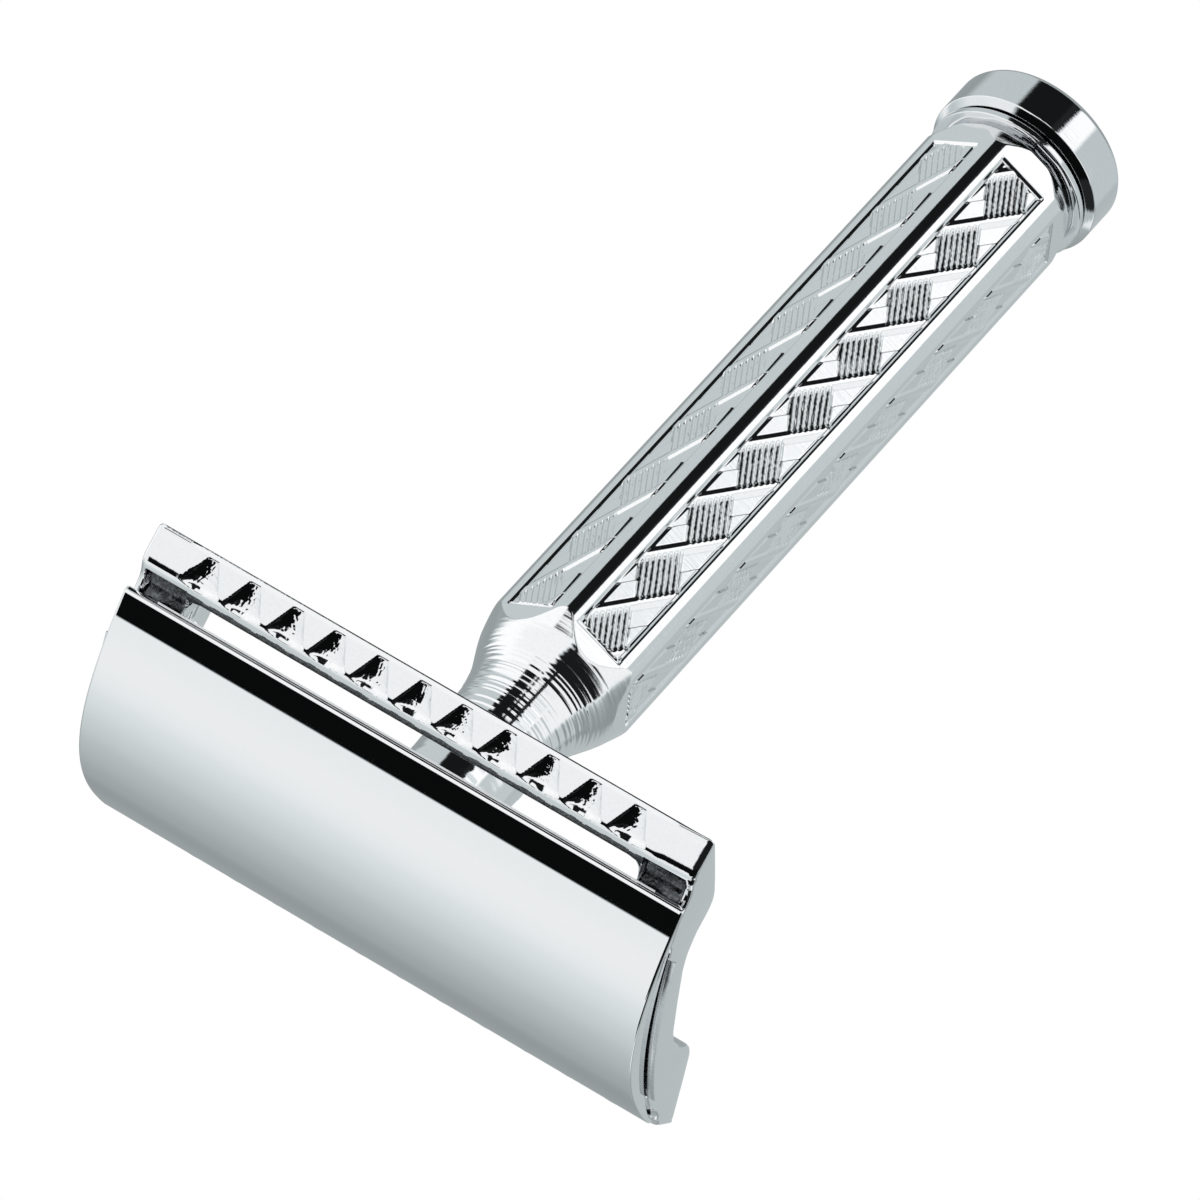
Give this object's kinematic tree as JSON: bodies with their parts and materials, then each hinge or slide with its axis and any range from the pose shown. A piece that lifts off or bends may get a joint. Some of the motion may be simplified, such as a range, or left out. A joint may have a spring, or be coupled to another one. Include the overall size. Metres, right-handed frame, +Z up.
{
  "type": "double-edge safety razor",
  "caption": "Twist-to-open double-edge safety razor: arched cap, clamped blade, slotted base plate with fluted safety bars, hexagonal patterned grip and turning knob.",
  "frame": {"origin": "centre of the knob's flat bottom face, on the handle's axis", "axes": "+Z up the handle to the cap, X along the head (the blade's length), Y across the head (the shaving directions)"},
  "size_m": [0.043, 0.0286, 0.0802],
  "materials": {
    "cap_plate": "polished plate",
    "cap_stud": "machined thread",
    "locating_pins": "polished plate",
    "blade": "rolled strip, ground edges",
    "base_plate": "plated casting, slightly soft polish",
    "handle_grip": "plated, fine turning marks, hatched panels",
    "rod": "drawn bar",
    "socket": "turned",
    "bushing": "turned",
    "lower_bushing": "polished plate on the visible ring",
    "hardware": "plain",
    "knob": "polished plate, fine turning marks"
  },
  "bodies": {
    "frame": {"base_plate": "base_plate", "handle_grip": "handle_grip", "upper_bushing": "bushing", "lower_bushing": "lower_bushing", "tension_spring": "hardware"},
    "knob": {"knob": "knob", "knob_screw": "hardware", "draw_rod": "rod", "threaded_socket": "socket", "socket_pin": "hardware", "spring_washer": "hardware", "retaining_clip": "hardware", "friction_washer": "hardware"},
    "blade": {"blade": "blade"},
    "cap": {"cap_plate": "cap_plate", "cap_stud": "cap_stud", "locating_pin_left": "locating_pins", "locating_pin_right": "locating_pins"}
  },
  "joints": [
    {"name": "knob_turn", "type": "hinge", "parent": "frame", "child": "knob", "pos_m": [0, 0, 0], "axis": [0, 0, -1], "range_deg": [0, 2880]},
    {"name": "blade_lift", "type": "slide", "parent": "frame", "child": "blade", "axis": [0, 0, 1], "range_m": [0, 0.0056]},
    {"name": "cap_lift_off", "type": "slide", "parent": "blade", "child": "cap", "axis": [0, 0, 1], "range_m": [0, 0.014]}
  ],
  "couplings": [
    {"joint": "knob_turn", "follows": "blade_lift", "rad_per_m": 8976}
  ]
}
